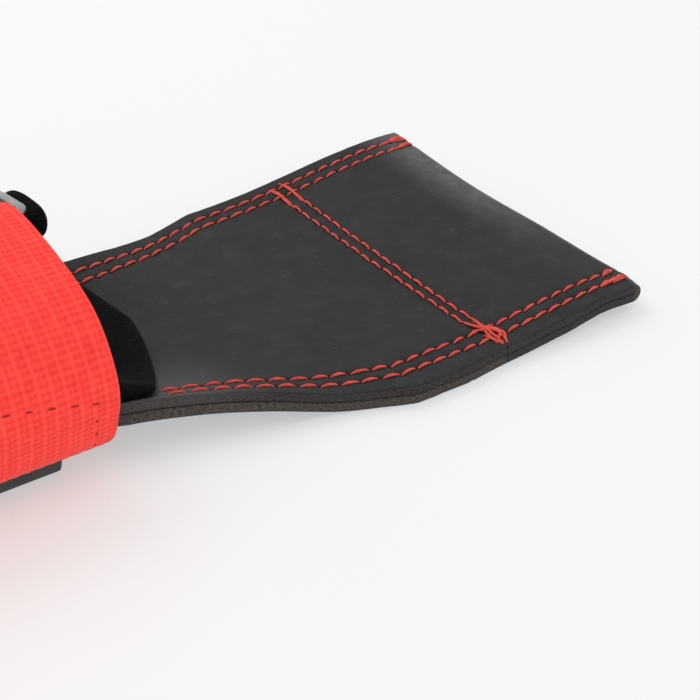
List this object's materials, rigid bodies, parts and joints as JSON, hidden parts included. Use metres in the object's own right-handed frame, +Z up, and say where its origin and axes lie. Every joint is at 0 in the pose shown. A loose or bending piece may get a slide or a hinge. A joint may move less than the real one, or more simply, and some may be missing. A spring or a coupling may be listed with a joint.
{
  "type": "weightlifting palm grip",
  "caption": "Folded leather palm flap stitched to a padded wrist cuff, closed by a wide webbing strap that doubles back through a metal ring with hook and loop.",
  "frame": {"origin": "centre of the underside of the whole part, on the table it lies on", "axes": "+X along the palm flap from the wrist cuff to its tip, +Y across the cuff away from the strap's hook end, +Z up out of the table"},
  "size_m": [0.2266, 0.1048, 0.0492],
  "materials": {
    "black_leather": "matte oiled",
    "red_thread": "twisted",
    "black_thread": "twisted",
    "dark_red_thread": "twisted",
    "red_webbing": "woven",
    "black_webbing": "woven",
    "black_loop": "loop pile",
    "black_hook": "hook tape",
    "black_rubber": "matte",
    "ring_steel": "nickel plated",
    "black_neoprene": "knit faced neoprene",
    "foam": "closed cell",
    "black_lining": "knit"
  },
  "bodies": {
    "root": {"neck_lower_layer": "black_leather", "neck_upper_layer": "black_leather", "flap_anchor": "black_leather", "anchor_stitching": "black_thread", "neck_stitching_near": "red_thread", "neck_stitching_far": "red_thread", "strap_base": "red_webbing", "loop_patch": "black_loop", "ring_keeper": "black_webbing", "keeper_stitching": "black_thread", "pad_cover": "black_neoprene", "pad_foam": "foam", "pad_lining": "black_lining"},
    "palm": {"palm_lower_layer": "black_leather", "palm_upper_layer": "black_leather", "palm_stitching_near": "red_thread", "palm_stitching_far": "red_thread", "cross_seam_stitching": "red_thread"},
    "tip": {"tip_leather": "black_leather", "tip_stitching_near": "red_thread", "tip_stitching_far": "red_thread"},
    "ring": {"ring": "ring_steel"},
    "strap_tail": {"strap_tail": "red_webbing", "hook_patch": "black_hook", "hook_patch_stitching": "dark_red_thread", "pull_tab": "black_rubber"}
  },
  "joints": [
    {"name": "palm_fold", "type": "hinge", "parent": "root", "child": "palm", "pos_m": [0.01775, 0, 0.00336], "axis": [0, -0.9998, -0.0205], "range_deg": [-90, 90]},
    {"name": "tip_curl", "type": "hinge", "parent": "palm", "child": "tip", "pos_m": [0.07275, 0, 0.0056], "axis": [0, -0.9982, -0.0608], "range_deg": [-90, 90]},
    {"name": "ring_swivel", "type": "hinge", "parent": "root", "child": "ring", "pos_m": [-0.06775, 0.016, 0.0439], "axis": [-1, 0, 0], "range_deg": [0, 24]},
    {"name": "strap_open", "type": "hinge", "parent": "ring", "child": "strap_tail", "pos_m": [-0.06775, -0.001, 0.0458], "axis": [-1, 0, 0], "range_deg": [0, 110]}
  ],
  "couplings": [
    {"joint": "ring_swivel", "follows": "strap_open", "ratio": 0.2}
  ]
}
